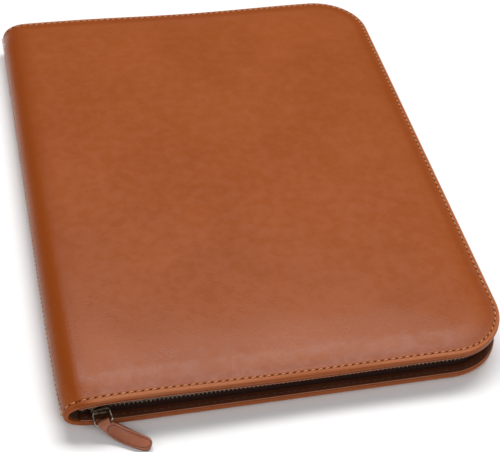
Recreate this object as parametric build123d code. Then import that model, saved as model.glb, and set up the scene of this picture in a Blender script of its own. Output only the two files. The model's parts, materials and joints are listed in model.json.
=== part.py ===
from build123d import *
import math
import os

# Zip-around leather portfolio case for A4 sheets, lying closed on its back cover.
# Frame: millimetres, +Z up, +Y along the spine, +X from the spine to the opening edge.
# The origin is the centre of the case's outline, on the flat underside.

# Overall size
case_length = 345.0
case_width = 260.0
case_height = 25.0
corner_radius = 35.0

# Layers of a cover, from the outside in
leather_thickness = 1.2
padding_thickness = 1.2
board_thickness = 1.5
turned_edge_thickness = 0.7
tape_thickness = 0.5
facing_thickness = 0.7
lining_thickness = 0.7
turned_edge_width = 14.0
edge_rounding = 1.8
overcut = 1.0  # how far a cutting solid reaches past the piece that it cuts

# Stitch groove and thread along the open edges
stitch_inset = 2.9
groove_width = 0.8
thread_width = 0.6
groove_depth = 0.35
thread_depth = 0.3

# Spine: a soft rounded wall between the two covers
spine_radius = 11.0
spine_padding = 2.0
spine_lining = 0.8
fold_gap = 1.0
seam_end_gap = 0.5  # bare length at each end of the centre seam

# Zip: two tapes that stand up from the covers, with a row of teeth on each
tape_flange_inset = 1.4
zip_inset = 6.3
tape_wall = 0.6
teeth_thickness = 2.6
teeth_height = 2.7
teeth_gap = 0.2
teeth_grip = 1.4
facing_inset = 0.9
facing_width = 4.5
lining_inset = 8.4
stop_start = 0.7  # gap between a cover's spine side and the zip stop
stop_length = 1.8
stop_gap = 0.3  # between a stop and the teeth, and between two stops

# Zip slider
slider_x = -107.0
slider_length = 11.0
slider_clearance = 0.4
slider_teeth_gap = 0.6  # between the slider and the front row of teeth
tape_slot = 1.6
wing_thickness = 1.2
wing_nose = 3.2  # half width at the nose end
wing_nose_length = 1.6
wing_shoulder = 5.0  # half width at the shoulder
wing_shoulder_end = -1.0
wing_tail = 4.2  # half width at the tail end
wing_tail_corner = 0.6
wing_rounding = 0.5
crown_half_length = 3.8
crown_half_width = 0.8
crown_gap = 1.9
crown_thickness = 1.0
crown_post = 0.9
crown_root = 0.3  # how deep the crown is set into the wing
crown_rounding = 1.6

# Ring and leather pull tab
wire_radius = 0.65
ring_tilt = 25.0  # of the ring's bars against the table
ring_swing = 25.0  # how far the ring hangs down from level
ring_length = 7.7
ring_top_half = 4.9
ring_bottom_half = 5.1
ring_corner = 1.7
tab_thickness = 2.3
tab_width = 8.6
tab_neck = 6.6
tab_bore = 1.0
tab_loop = 2.1
tab_heading = -30.7
tab_reach = 28.0
tab_rest = 0.12
tab_tip_radius = 3.8
# stations along the tab: share of the reach, share of the drop left, share of the twist done, width
tab_stations = [
    (0.03, 0.90, 0.00, tab_neck),
    (0.16, 0.62, 0.20, tab_neck + 1.2),
    (0.34, 0.24, 0.50, tab_width),
    (0.55, 0.04, 0.80, tab_width),
    (0.80, 0.00, 1.00, tab_width),
    (1.00, 0.00, 1.00, tab_width - 0.4),
]

# Pockets and pen loop on the linings; each pocket opens towards +Y
pocket_thickness = 1.1
pocket_gap = 0.4
pocket_hem = 3.0
pocket_clearance = 0.6  # from the edge of the lining
pocket_right = 118.0
pocket_low = -160.0
pad_pocket_left = -100.0
pad_pocket_mouth = -30.0
document_pocket_left = -96.0
document_pocket_mouth = 30.0
card_slots = 3
card_slot_left = -86.0
card_slot_width = 92.0
card_slot_top = 118.0
card_slot_pitch = 14.0
card_slot_gap = 0.4
pen_loop_x = -105.5
pen_loop_y = 70.0
pen_loop_radius = 6.2
pen_loop_wall = 1.0
pen_loop_length = 30.0

half_length = case_length / 2
half_width = case_width / 2
middle = case_height / 2
fold_x = -half_width + spine_radius
cover_left = fold_x + fold_gap
board_top = leather_thickness + padding_thickness + board_thickness
cover_top = board_top + turned_edge_thickness
flange_top = cover_top + tape_thickness
facing_top = flange_top + facing_thickness
lining_top = cover_top + lining_thickness
teeth_low = middle - teeth_gap / 2 - teeth_height
tape_top = teeth_low + teeth_grip
stop_end = cover_left + stop_start + stop_length
zip_y = -half_length + zip_inset
wing_face = zip_y - teeth_thickness / 2 - slider_clearance - wing_thickness

os.makedirs("parts", exist_ok=True)


def save(shape, name):
    export_step(shape, "parts/" + name + ".step")


def block(x_low, x_high, y_low, y_high, z_low, z_high):
    size = (x_high - x_low, y_high - y_low, z_high - z_low)
    corner = Pos((x_low + x_high) / 2, (y_low + y_high) / 2, (z_low + z_high) / 2)
    return corner * Box(*size)


def panel(inset, z_low, z_high, left=cover_left):
    """Cover outline, set in by a distance, with its two outer corners rounded."""
    right = half_width - inset
    reach = half_length - inset
    shape = block(left, right, -reach, reach, z_low, z_high)
    corners = shape.edges().filter_by(Axis.Z).group_by(Axis.X)[-1]
    return fillet(corners, corner_radius - inset)


def band(outer_inset, inner_inset, z_low, z_high, left=cover_left):
    """Strip that follows the three open edges of a cover."""
    inside = panel(inner_inset, z_low - overcut, z_high + overcut, left - overcut)
    return panel(outer_inset, z_low, z_high, left) - inside


def upper(shape):
    """The same piece on the front cover, turned over about the middle height."""
    return mirror(shape, about=Plane.XY.offset(middle))


def outer_leather():
    """Leather skin that wraps the board's three open edges and is glued down inside."""
    skin = panel(0, 0, cover_top)
    rims = skin.edges().filter_by(Axis.Z, reverse=True)
    spine_side = rims.group_by(Axis.X)[0]
    rims = rims.filter_by(lambda edge: edge not in spine_side)
    skin = fillet(rims, edge_rounding)
    hollow_left = cover_left - overcut
    skin -= panel(leather_thickness, leather_thickness, board_top, hollow_left)
    skin -= panel(turned_edge_width, leather_thickness, cover_top + overcut, hollow_left)
    half_groove = groove_width / 2
    return skin - band(stitch_inset - half_groove, stitch_inset + half_groove, -overcut, groove_depth)


def edge_thread():
    half_thread = thread_width / 2
    low = groove_depth - thread_depth
    return band(stitch_inset - half_thread, stitch_inset + half_thread, low, groove_depth)


def zip_tape():
    """Woven tape: a flat margin sewn to the cover and a low wall that carries the teeth."""
    half_wall = tape_wall / 2
    margin = band(tape_flange_inset, zip_inset + half_wall, cover_top, flange_top)
    wall = band(zip_inset - half_wall, zip_inset + half_wall, cover_top, tape_top)
    return margin + wall


def zip_teeth(start):
    """Row of teeth as one rail, slotted over the edge of its tape."""
    half_rail = teeth_thickness / 2
    rail = band(zip_inset - half_rail, zip_inset + half_rail, teeth_low, teeth_low + teeth_height, start)
    return rail - zip_tape()


def zip_stops():
    """Metal clips pinched on both ends of a tape."""
    half_stop = teeth_thickness / 2
    left = stop_end - stop_length
    high = middle - stop_gap
    clips = []
    for side in (-1, 1):
        centre = side * (half_length - zip_inset)
        clip = block(left, stop_end, centre - half_stop, centre + half_stop, teeth_low, high)
        clips.append(clip - zip_tape())
    return Compound(children=[clip.solid() for clip in clips])


def spine_wall(depth_low, depth_high, z_low=0.0, z_high=case_height):
    """Layer of the rounded spine between two depths below its outer face."""
    def rounded(depth, right, reach):
        shape = block(-half_width + depth, right, -reach, reach, depth, case_height - depth)
        corners = shape.edges().filter_by(Axis.Y).group_by(Axis.X)[0]
        return fillet(corners, spine_radius - depth)
    outside = rounded(depth_low, fold_x + overcut, half_length)
    layer = outside - rounded(depth_high, fold_x + 2 * overcut, half_length + overcut)
    return layer & block(-half_width - overcut, fold_x, -half_length, half_length, z_low, z_high)


def spine_leather(z_low, z_high):
    half_groove = groove_width / 2
    low = middle - half_groove
    high = middle + half_groove
    left = -half_width
    reach = half_length + overcut
    groove = block(left - overcut, left + groove_depth, -reach, reach, low, high)
    return spine_wall(0, leather_thickness, z_low, z_high) - groove


def spine_thread():
    half_thread = thread_width / 2
    left = -half_width + groove_depth - thread_depth
    right = -half_width + groove_depth
    reach = half_length - seam_end_gap
    return block(left, right, -reach, reach, middle - half_thread, middle + half_thread)


def slider_wing(sign):
    """One plate of the zip slider: a tapered plate with a channel for the teeth."""
    half = slider_length / 2
    inner_face = teeth_thickness / 2 + slider_clearance
    lip_end = tape_slot / 2
    lower_side = [
        (-half, -wing_nose),
        (-half + wing_nose_length, -wing_shoulder),
        (wing_shoulder_end, -wing_shoulder),
        (half - wing_tail_corner, -wing_tail),
        (half, -wing_tail + wing_tail_corner),
    ]
    upper_side = [(x, -y) for x, y in reversed(lower_side)]
    face = make_face(Polyline(*lower_side, *upper_side, close=True))
    plate = extrude(face, amount=inner_face - lip_end + wing_thickness)
    outer_edges = plate.faces().sort_by(Axis.Z)[-1].edges()
    plate = fillet(outer_edges, wing_rounding)
    channel_half = teeth_height + teeth_gap / 2 + slider_clearance
    plate -= Box(slider_length + overcut, 2 * channel_half, 2 * (inner_face - lip_end))
    # local z points away from the tape; lay it along -Y (outer wing) or +Y (inner wing)
    frame = Plane(origin=(slider_x, zip_y + sign * lip_end, middle), x_dir=(1, 0, 0), z_dir=(0, sign, 0))
    return frame * plate


def slider_outer_wing():
    """Wing on the outside, with a small bridge, the crown, that holds the ring."""
    out = wing_face - crown_gap - crown_thickness
    reach = crown_half_length + crown_post
    low = middle - crown_half_width
    high = middle + crown_half_width
    arch = block(slider_x - reach, slider_x + reach, out, wing_face + crown_root, low, high)
    arch = fillet(arch.edges().filter_by(Axis.Z).group_by(Axis.Y)[0], crown_rounding)
    left = slider_x - crown_half_length
    right = slider_x + crown_half_length
    window = block(left, right, wing_face - crown_gap, wing_face, low - overcut, high + overcut)
    return slider_wing(-1) + (arch - window)


# The ring hangs from the slider's crown. Its plane is set by two directions:
# along its top bar, and from its top bar to its bottom bar.
tilt = math.radians(ring_tilt)
swing = math.radians(ring_swing)
bar_direction = Vector(math.cos(tilt), 0, math.sin(tilt))
down_direction = Vector(math.sin(tilt), 0, -math.cos(tilt))
leg_direction = Vector(0, -1, 0) * math.cos(swing) + down_direction * math.sin(swing)
ring_top = Vector(slider_x, wing_face - crown_gap / 2, middle)
ring_bottom = ring_top + leg_direction * ring_length


def pull_ring():
    plane = Plane(origin=ring_top, x_dir=bar_direction, z_dir=bar_direction.cross(leg_direction))
    corners = [
        (-ring_top_half, 0),
        (ring_top_half, 0),
        (ring_bottom_half, ring_length),
        (-ring_bottom_half, ring_length),
    ]
    outline = make_face(Polyline(*corners, close=True))
    outline = fillet(outline.vertices(), ring_corner)
    path = (plane * outline).face().outer_wire()
    section = Plane(origin=path @ 0, z_dir=path % 0) * Circle(wire_radius)
    return sweep(section, path=path)


def pull_tab():
    """Leather strap folded round the ring's bottom bar and stitched to itself."""
    heading = math.radians(tab_heading)
    along = Vector(math.cos(heading), math.sin(heading), 0)
    across = Vector(-math.sin(heading), math.cos(heading), 0)
    rest = tab_rest + tab_thickness / 2
    drop = ring_bottom.Z - rest
    centres = []
    for share, height, twist, width in tab_stations:
        above = Vector(ring_bottom.X, ring_bottom.Y, rest + drop * height)
        centres.append(above + along * (tab_reach * share))
    sections = []
    for index, (share, height, twist, width) in enumerate(tab_stations):
        before = centres[max(index - 1, 0)]
        after = centres[min(index + 1, len(centres) - 1)]
        tangent = (after - before).normalized()
        side = (bar_direction * (1 - twist) + across * twist).normalized()
        side = (side - tangent * side.dot(tangent)).normalized()
        plane = Plane(origin=centres[index], x_dir=side, z_dir=tangent)
        sections.append(plane * Rectangle(width, tab_thickness))
    strap = loft(sections)
    tip_edges = strap.faces().sort_by(lambda face: face.center().dot(along))[-1].edges()
    strap = fillet(tip_edges.sort_by(SortBy.LENGTH)[:2], tab_tip_radius)
    sleeve_plane = Plane(origin=ring_bottom, z_dir=bar_direction)
    sleeve = sleeve_plane * Cylinder(tab_loop, tab_neck)
    bore = sleeve_plane * Cylinder(tab_bore, 4 * tab_neck)
    return (strap + sleeve) - bore


def pocket(x_low, x_high, y_low, y_high):
    """Leather pocket sewn to the lining on three sides, with its mouth on the fourth."""
    top = lining_top + pocket_thickness
    flap = block(x_low, x_high, y_low, y_high, lining_top, top)
    left = x_low + pocket_hem
    right = x_high - pocket_hem
    low = y_low + pocket_hem
    hollow = block(left, right, low, y_high + overcut, lining_top - overcut, lining_top + pocket_gap)
    inside = panel(lining_inset + pocket_clearance, lining_top - overcut, top + overcut)
    return (flap & inside) - hollow


def card_slot(index):
    """One of the card slots, which lie in a row one below the other."""
    mouth = card_slot_top - index * card_slot_pitch
    low = mouth - card_slot_pitch + card_slot_gap
    return pocket(card_slot_left, card_slot_left + card_slot_width, low, mouth)


def pen_loop():
    centre = Pos(pen_loop_x, pen_loop_y, lining_top + pen_loop_radius)
    loop = Rot(90, 0, 0) * Cylinder(pen_loop_radius, pen_loop_length)
    hole = Rot(90, 0, 0) * Cylinder(pen_loop_radius - pen_loop_wall, pen_loop_length + overcut)
    return centre * (loop - hole)


# Back cover, and the front cover as its mirror image
padding_panel = panel(leather_thickness, leather_thickness, leather_thickness + padding_thickness)
board_panel = panel(leather_thickness, leather_thickness + padding_thickness, board_top)
facing_strip = band(facing_inset, facing_inset + facing_width, flange_top, facing_top)
lining_panel = panel(lining_inset, cover_top, lining_top)
leather_panel = outer_leather()
cover_pieces = {
    "outer_leather": leather_panel,
    "padding": padding_panel,
    "board": board_panel,
    "edge_facing": facing_strip,
    "lining": lining_panel,
    "edge_thread": edge_thread(),
    "zip_tape": zip_tape(),
}
for piece_name, piece in cover_pieces.items():
    save(piece, "back_" + piece_name)
    save(upper(piece), "front_" + piece_name)

# The front row of teeth starts beside the slider, so that the covers can part.
save(zip_teeth(stop_end + stop_gap), "back_zip_teeth")
save(upper(zip_teeth(slider_x + slider_length / 2 + slider_teeth_gap)), "front_zip_teeth")
save(zip_stops(), "back_zip_stops")
save(upper(zip_stops()), "front_zip_stops")

# Spine
save(spine_leather(0, middle), "spine_leather_lower")
save(spine_leather(middle, case_height), "spine_leather_upper")
save(spine_wall(leather_thickness, leather_thickness + spine_padding), "spine_padding")
inner_depth = leather_thickness + spine_padding
save(spine_wall(inner_depth, inner_depth + spine_lining), "spine_lining")
save(spine_thread(), "spine_seam_thread")

# Slider, ring and tab
save(slider_outer_wing(), "slider_outer_wing")
save(slider_wing(1), "slider_inner_wing")
save(pull_ring(), "pull_ring")
save(pull_tab(), "pull_tab")

# Inside: a pad pocket and pen loop on the back, a document pocket and card slots on the front
save(pocket(pad_pocket_left, pocket_right, pocket_low, pad_pocket_mouth), "pad_pocket")
save(pen_loop(), "pen_loop")
document_pocket = pocket(document_pocket_left, pocket_right, pocket_low, document_pocket_mouth)
save(upper(document_pocket), "document_pocket")
for number in range(card_slots):
    save(upper(card_slot(number)), "card_slot_" + str(number + 1))
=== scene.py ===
import bmesh
import bpy
import json
import math
from mathutils import Matrix, Vector


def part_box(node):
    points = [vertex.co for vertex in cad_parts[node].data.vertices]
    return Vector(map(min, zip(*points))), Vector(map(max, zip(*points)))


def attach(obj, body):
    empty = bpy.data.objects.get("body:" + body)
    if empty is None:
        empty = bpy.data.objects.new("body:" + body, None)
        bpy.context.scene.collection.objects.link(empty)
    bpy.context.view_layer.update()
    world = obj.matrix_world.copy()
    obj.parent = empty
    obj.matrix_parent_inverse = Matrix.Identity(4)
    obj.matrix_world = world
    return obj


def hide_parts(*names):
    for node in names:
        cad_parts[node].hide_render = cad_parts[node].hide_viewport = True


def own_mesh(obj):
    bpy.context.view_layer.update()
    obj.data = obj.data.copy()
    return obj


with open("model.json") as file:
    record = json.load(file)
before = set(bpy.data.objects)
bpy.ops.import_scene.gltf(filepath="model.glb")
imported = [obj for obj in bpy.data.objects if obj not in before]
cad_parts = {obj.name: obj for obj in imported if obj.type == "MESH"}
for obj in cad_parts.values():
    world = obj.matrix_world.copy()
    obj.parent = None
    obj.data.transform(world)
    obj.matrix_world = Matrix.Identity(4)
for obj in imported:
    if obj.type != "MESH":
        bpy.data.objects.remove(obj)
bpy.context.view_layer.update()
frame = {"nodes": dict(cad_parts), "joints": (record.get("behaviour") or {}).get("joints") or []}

# Zip-around leather portfolio case, lying closed on its back cover.
# Meshes are worked out in millimetres and stored in metres.
# A cover is described by two measures: inset, from its outline inwards,
# and depth, from its outer face inwards.

mm = 0.001
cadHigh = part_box("back_outer_leather")[1]
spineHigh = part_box("spine_leather_lower")[1]

case = {
    "halfLength": cadHigh.y / mm,
    "halfWidth": cadHigh.x / mm,
    "height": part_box("front_outer_leather")[1].z / mm,
    "foldLine": spineHigh.x / mm,
    "cornerRadius": 35.0,
    "settle": 1.6,  # how much lower the front cover lies at its opening edge
    "hang": 1.5,  # how much lower still its two long edges lie half-way
    "hangFrom": -85.0,
    "hangTo": 95.0,
    "hangPower": 8,  # more keeps the hang closer to the long edges
    "lowerFrom": 2.0,  # height above the middle at which settle and hang begin, and how fast
    "lowerFade": 4.5,
    "bendDepth": 6.0,  # depth at which a cover's bend beside the spine begins to fade
    "bendFade": 3.0,
    "nearPinch": 0.16,  # how much flatter the spine is at the slider's end, and at the other
    "farPinch": 0.0,
    "nearDroop": 1.9,  # how far both covers bend inwards beside the slider's end of the spine, and the other
    "farDroop": 0.25,
    "droopWidth": 13.0,
    "droopPower": 14,
}
spine = {
    "power": 2.1,  # 2 is a plain ellipse; more is squarer
    "lead": 6.0,  # how far inside the fold line the curve begins
    "inward": 0.75,  # how much an inner layer moves towards the fold line for its depth
    "leather": 0.95,
    "padLow": 1.0,
    "padHigh": 3.3,
    "liningLow": 4.62,
    "liningHigh": 5.3,
    "seamDip": 0.5,
    "profileSteps": 30,
    "clearance": 0.3,
    "seamWidth": 0.045,  # as a share of the half curve
    "padInset": 4.2,
    "seamEnd": 3.0,
    "seamStep": 2.46,
    "endShare": 0.98,  # how far round the curve the end stitches go
}
middleHeight = case["height"] / 2
spineReach = case["foldLine"] + case["halfWidth"]


def say(text):
    print("stage:", text)


def smooth(value):
    value = min(max(value, 0.0), 1.0)
    return value * value * (3 - 2 * value)


def bell(value, centre, width):
    return math.exp(-((value - centre) / width) ** 2)


def addObject(name, data):
    piece = bpy.data.objects.new(name, data)
    bpy.context.scene.collection.objects.link(piece)
    return piece


def toMesh(name, points, faces, uvs=None, attributes=None):
    mesh = bpy.data.meshes.new(name)
    mesh.from_pydata([(x * mm, y * mm, z * mm) for x, y, z in points], [], faces)
    if uvs:
        layer = mesh.uv_layers.new(name="UVMap")
        flat = [value * mm for corner in uvs for value in corner]
        layer.data.foreach_set("uv", flat)
    for key, values in (attributes or {}).items():
        layer = mesh.attributes.new(key, "FLOAT", "POINT")
        layer.data.foreach_set("value", values)
    mesh.shade_smooth()
    return addObject(name, mesh)


def gridMesh(name, rows, closed=False, capped=False, flip=False, tone=None):
    rowCount = len(rows)
    lineCount = len(rows[0])
    points = [point for row in rows for point in row]
    across = [0.0]
    last = rows + [rows[0]] if closed else rows
    probe = lineCount // 2
    for before, after in zip(last, last[1:]):
        across.append(across[-1] + (Vector(after[probe]) - Vector(before[probe])).length)
    along = [0.0]
    for before, after in zip(rows[-1], rows[-1][1:]):
        along.append(along[-1] + (Vector(after) - Vector(before)).length)
    faces = []
    uvs = []
    for i in range(rowCount if closed else rowCount - 1):
        below = (i + 1) % rowCount
        for j in range(lineCount - 1):
            here, there = i * lineCount + j, below * lineCount + j
            face = [here, here + 1, there + 1, there]
            corner = [(along[j], across[i]), (along[j + 1], across[i]),
                      (along[j + 1], across[i + 1]), (along[j], across[i + 1])]
            if flip:
                face.reverse()
                corner.reverse()
            faces.append(face)
            uvs += corner
    if capped:
        for j, turned in ((0, flip), (lineCount - 1, not flip)):
            face = [i * lineCount + j for i in range(rowCount)]
            if not turned:
                face.reverse()
            faces.append(face)
            uvs += [(along[j], across[i]) for i in range(rowCount)]
    attributes = {"tone": [tone(*point) for point in points]} if tone else None
    return toMesh(name, points, faces, uvs, attributes)


def settled(piece, thickness=0.0, merge=0.0, outwards=False):
    mesh = piece.data
    work = bmesh.new()
    work.from_mesh(mesh)
    if merge:
        bmesh.ops.remove_doubles(work, verts=work.verts, dist=merge * mm)
    if outwards:
        bmesh.ops.recalc_face_normals(work, faces=work.faces)
    work.to_mesh(mesh)
    work.free()
    if thickness:
        wall = piece.modifiers.new("wall", "SOLIDIFY")
        wall.thickness = thickness * mm
        wall.offset = -1.0
        wall.use_even_offset = False
        wall.use_quality_normals = True
        takeResult(piece)
        piece.data.set_sharp_from_angle(angle=math.radians(52))
    return piece


def takeResult(piece):
    bpy.context.view_layer.update()
    depsgraph = bpy.context.evaluated_depsgraph_get()
    result = bpy.data.meshes.new_from_object(piece.evaluated_get(depsgraph), depsgraph=depsgraph)
    piece.modifiers.clear()
    piece.data = result
    return piece


def setFinish(piece, material):
    piece.data.materials.clear()
    piece.data.materials.append(material)


nearSteps = [float(step) for step in range(0, 25)]
coarseSteps = [step / 36 for step in range(1, 37)]
cornerSteps = [step / 16 for step in range(1, 17)]
sideSteps = [step / 44 for step in range(1, 45)]


def cornerAt(inset):
    full = case["cornerRadius"]
    steady = 20.0  # inset up to which the corner is a true offset
    if inset <= steady:
        return full - inset
    return (full - steady) * (case["halfLength"] - inset) / (case["halfLength"] - steady)


def outlineAt(inset, left, lead=()):
    radius = cornerAt(inset)
    reach = case["halfLength"] - inset
    edge = case["halfWidth"] - inset
    straightX = edge - radius
    straightY = reach - radius
    start = left + nearSteps[-1]
    line = [(left + step, -reach) for step in list(lead) + nearSteps]
    line += [(start + (straightX - start) * share, -reach) for share in coarseSteps]
    for share in cornerSteps:
        angle = share * math.pi / 2
        line.append((straightX + radius * math.sin(angle), -straightY - radius * math.cos(angle)))
    line += [(edge, -straightY * (1 - share)) for share in sideSteps]
    return line + [(x, -y) for x, y in reversed(line[:-1])]


def droopAt(x, y):
    beside = bell(x, case["foldLine"], case["droopWidth"])
    most = case["nearDroop"] if y < 0 else case["farDroop"]
    return most * beside * min(abs(y) / case["halfLength"], 1) ** case["droopPower"]


def shoulderReach(y):
    # from the middle of the spine's curve to its outermost line; less at the two ends
    pinch = case["nearPinch"] if y < 0 else case["farPinch"]
    squeeze = 1 - pinch * abs(y / case["halfLength"]) ** 4
    return (spineReach - spine["clearance"]) * squeeze + spine["lead"]


def shoulderSag(x, y):
    # the spine's curve begins on the cover, a little way from the fold line
    near = case["foldLine"] + spine["lead"] - x
    if near <= 0:
        return 0.0
    power = spine["power"]
    level = (1 - min(near / shoulderReach(y), 1) ** power) ** (1 / power)
    return (middleHeight - droopAt(case["foldLine"], y)) * (1 - level)


def place(x, y, depth, front):
    # the front cover is the back one turned over, and it lies a little low
    fade = 1 - smooth((depth - case["bendDepth"]) / case["bendFade"])
    depth += (droopAt(x, y) + shoulderSag(x, y)) * fade
    if not front:
        return (x, y, depth)
    z = case["height"] - depth
    share = min(max((x - case["foldLine"]) / (case["halfWidth"] - case["foldLine"]), 0), 1)
    lowered = min(max((z - middleHeight - case["lowerFrom"]) / case["lowerFade"], 0), 1)
    along = min(max((x - case["hangFrom"]) / (case["hangTo"] - case["hangFrom"]), 0), 1)
    hang = case["hang"] * math.sin(math.pi * along) ** 2
    hang *= min(abs(y) / case["halfLength"], 1) ** case["hangPower"]
    return (x, y, z - (case["settle"] * share + hang) * lowered)


def coverRows(profile, left, front, depthAt=None, lead=()):
    rows = []
    for inset, depth in profile:
        row = []
        for x, y in outlineAt(inset, left, lead):
            extra = depthAt(x, y, inset) if depthAt else 0.0
            row.append(place(x, y, depth + extra, front))
        rows.append(row)
    return rows


def insetsTo(last):
    values = [case["halfLength"]]
    while values[-1] > 22:
        values.append(values[-1] - 6)
    values[-1] = 21.0
    for step, end in ((1.6, 12.0), (0.8, 5.0), (0.25, 1.8)):
        while values[-1] - step > max(end, last) - 0.001:
            values.append(values[-1] - step)
    values.append(last)
    return values


cover = {
    "leather": 0.95,
    "rim": 1.8,  # rounding of the outer edge
    "turnIn": 1.0,  # rounding of the inner edge
    "top": 4.6,  # depth of the turned-in margin
    "margin": 14.0,
    "edgeDip": 0.95,  # how far the leather drops from the padded field to the stitched edge
    "dipStart": 3.6,
    "dipEnd": 19.0,
    "crown": 1.1,  # how far the padded field of the front cover stands above its edges
    "crownEnd": 42.0,
    "stitchInset": 2.9,
    "stitchDip": 0.22,
    "stitchWidth": 0.5,
    "hollow": 0.15,  # mean dip of the field, and the two waves on it
    "wave": 0.10,
    "fineWave": 0.05,
    "merge": 0.02,
}
# share of the deeper colour (painted shade on shoulder and spine) or of the painted highlight on the rim,
# where it lies and how wide it is
tones = {
    "shoulder": 0.68, "shoulderWidth": 7.0,
    "line": 0.75, "lineInset": 6.0, "lineWidth": 3.2,
    "highlight": 0.85, "highlightInset": 0.9, "highlightWidth": 0.9,
    "spine": 0.95, "spineHeight": 10.2, "spineWidth": 2.8,
}


def edgeDepth(inset):
    # dip towards the edge, and the groove along the stitches
    rise = smooth((inset - cover["dipStart"]) / (cover["dipEnd"] - cover["dipStart"]))
    groove = cover["stitchDip"] * bell(inset, cover["stitchInset"], cover["stitchWidth"])
    return cover["edgeDip"] * (1 - rise) + groove


def faceDepth(x, y, inset):
    # how far the outer face of a cover lies below its highest level
    field = smooth((inset - 8) / 20) * smooth((x - case["foldLine"] - 8) / 14)
    ripple = cover["wave"] * math.sin(x * 0.047 + 1.3) * math.sin(y * 0.038 + 0.4)
    ripple += cover["fineWave"] * math.sin(x * 0.11 + y * 0.07)
    return edgeDepth(inset) + (cover["hollow"] + ripple) * field


def crownDepth(x, y, inset):
    # the front cover is also a little pillowed, except beside the spine
    away = smooth((x - case["foldLine"] - 2) / 30)
    return faceDepth(x, y, inset) - cover["crown"] * away * smooth(inset / cover["crownEnd"])


def edgeProfile(depthAtEdge):
    # rounded outer edge, side and turned-in margin, as (inset, depth)
    rim = cover["rim"]
    turn = cover["turnIn"]
    top = cover["top"]
    steps = []
    for step in range(1, 8):
        angle = step / 7 * math.pi / 2
        steps.append((rim - rim * math.sin(angle), depthAtEdge + rim - rim * math.cos(angle)))
    for step in range(0, 6):
        angle = step / 5 * math.pi / 2
        steps.append((turn - turn * math.cos(angle), top - turn + turn * math.sin(angle)))
    for inset in (2.5, 5.0, 9.0, cover["margin"]):
        steps.append((inset, top))
    return steps


def insetAt(x, y):
    insetX = case["halfWidth"] - x
    insetY = case["halfLength"] - abs(y)
    corner = case["cornerRadius"]
    if insetX < corner and insetY < corner:
        return corner - math.hypot(corner - insetX, corner - insetY)
    return min(insetX, insetY)


def coverTone(x, y, z):
    # painted shade beside the spine, where the cover turns away from the light; a deeper band inside the
    # stitches; and a painted highlight on the rounded rim, above and below the sides
    shoulder = tones["shoulder"] * bell(x, case["foldLine"], tones["shoulderWidth"])
    inset = insetAt(x, y)
    line = tones["line"] * bell(inset, tones["lineInset"], tones["lineWidth"])
    outside = smooth((abs(z - middleHeight) - 8.5) / 1.5)
    highlight = tones["highlight"] * bell(inset, tones["highlightInset"], tones["highlightWidth"]) * outside
    return max(shoulder, line) - highlight


def facingTone(x, y, z):
    # the cut edge of the strip is raw and pale
    return smooth((0.72 - insetAt(x, y)) / 0.2)


def makeCoverLeather(front):
    name = "front_cover_leather" if front else "back_cover_leather"
    left = case["foldLine"]
    outer = [(inset, 0.0) for inset in insetsTo(cover["rim"])]
    rows = coverRows(outer, left, front, crownDepth if front else faceDepth)
    edge = edgeProfile(faceDepth(0, 0, cover["rim"]))
    rows += coverRows(edge, left, front)
    piece = gridMesh(name, rows, tone=coverTone)
    settled(piece, merge=cover["merge"])
    orient(piece, Vector((0, 0, 1 if front else -1)))
    return settled(piece, cover["leather"])


def makeSlab(name, front, sizes, crowned=False):
    # flat layer of a cover as a closed slab, a little rounded at its rim
    inset, depthLow, depthHigh, left = (sizes[key] for key in ("inset", "low", "high", "left"))
    bevel = min(0.3, (depthHigh - depthLow) / 3)
    insets = [value for value in insetsTo(inset + 2.0) if value > 14] + [12.0, 10.0, inset + 2.0, inset + 1.0]
    low = [(value, depthLow) for value in insets] + [(inset + bevel, depthLow), (inset, depthLow + bevel)]
    high = [(inset, depthHigh - bevel), (inset + bevel, depthHigh)]
    high += [(value, depthHigh) for value in reversed(insets)]
    rows = coverRows(low, left, front, faceDepth if crowned else None) + coverRows(high, left, front)
    return closeSides(name, rows, front)


def closeSides(name, rows, front):
    piece = gridMesh(name, rows, flip=not front)
    work = bmesh.new()
    work.from_mesh(piece.data)
    bmesh.ops.remove_doubles(work, verts=work.verts, dist=cover["merge"] * mm)
    loose = [edge for edge in work.edges if edge.is_boundary]
    bmesh.ops.holes_fill(work, edges=loose, sides=0)
    bmesh.ops.recalc_face_normals(work, faces=work.faces)
    work.to_mesh(piece.data)
    work.free()
    return piece


def makeStrip(name, front, profile, left, tone=None):
    # strip along the three open edges, with a closed section
    rows = coverRows(profile, left, front)
    piece = gridMesh(name, rows, closed=True, capped=True, tone=tone)
    return settled(piece, outwards=True)


def roundedCorners(corners, bend):
    return [(cx + bend * math.cos(angle), cy + bend * math.sin(angle)) for cx, cy, start in corners
            for angle in (math.radians(start + step * 30) for step in range(4))]


facing = {"inset": 0.4, "width": 5.2, "low": 5.1, "high": 5.85, "round": 0.3}


def facingProfile():
    inner = facing["inset"] + facing["width"]
    low, high, bend = facing["low"], facing["high"], facing["round"]
    corners = [(facing["inset"] + bend, low + bend, 180), (inner - bend, low + bend, 270),
               (inner - bend, high - bend, 0), (facing["inset"] + bend, high - bend, 90)]
    return roundedCorners(corners, bend)


tape = {"thickness": 0.5, "flange": 1.6, "wall": 6.3, "bend": 1.4, "top": 10.9}


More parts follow.
